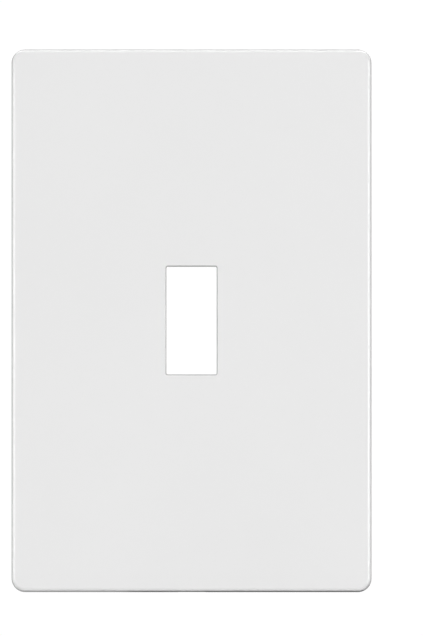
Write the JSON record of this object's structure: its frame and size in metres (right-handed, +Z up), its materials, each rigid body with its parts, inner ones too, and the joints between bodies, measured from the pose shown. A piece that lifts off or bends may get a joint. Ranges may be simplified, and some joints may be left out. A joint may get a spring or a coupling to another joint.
{
  "type": "screwless toggle switch wall plate",
  "caption": "Flat rounded wall plate for one toggle switch: clip-on white face cover with a small upright opening over a hidden screwed mounting plate with springy snap tongues.",
  "frame": {"origin": "centre of the two plate screws on the wall plane, which is also the centre of the plate's outline", "axes": "+X to the right seen from the room, +Z up, +Y into the wall, so the face looks along -Y"},
  "size_m": [0.079, 0.0163, 0.119],
  "materials": {
    "cover_white": "smooth white moulded polycarbonate, low sheen",
    "base_white": "white moulded plastic, fine matt tool finish",
    "screw_zinc": "bright zinc-plated steel"
  },
  "bodies": {
    "base": {"mounting_plate": "base_white", "snap_tongue_right_upper": "base_white", "snap_tongue_left_upper": "base_white", "snap_tongue_right_lower": "base_white", "snap_tongue_left_lower": "base_white", "snap_tongue_top_right": "base_white", "snap_tongue_top_left": "base_white", "snap_tongue_bottom_right": "base_white", "snap_tongue_bottom_left": "base_white"},
    "cover": {"face_cover": "cover_white"},
    "upper_screw": {"screw_upper": "screw_zinc"},
    "lower_screw": {"screw_lower": "screw_zinc"}
  },
  "joints": [
    {"name": "cover_slide", "type": "slide", "parent": "base", "child": "cover", "axis": [0, -1, 0], "range_m": [0, 0.02], "deforming": ["snap_tongue_right_upper", "snap_tongue_left_upper", "snap_tongue_right_lower", "snap_tongue_left_lower", "snap_tongue_top_right", "snap_tongue_top_left", "snap_tongue_bottom_right", "snap_tongue_bottom_left"]},
    {"name": "screw_upper_turn", "type": "hinge", "parent": "base", "child": "upper_screw", "pos_m": [0, 0, 0.03016], "axis": [0, 1, 0], "continuous": true},
    {"name": "screw_lower_turn", "type": "hinge", "parent": "base", "child": "lower_screw", "pos_m": [0, 0, -0.03016], "axis": [0, 1, 0], "continuous": true}
  ]
}
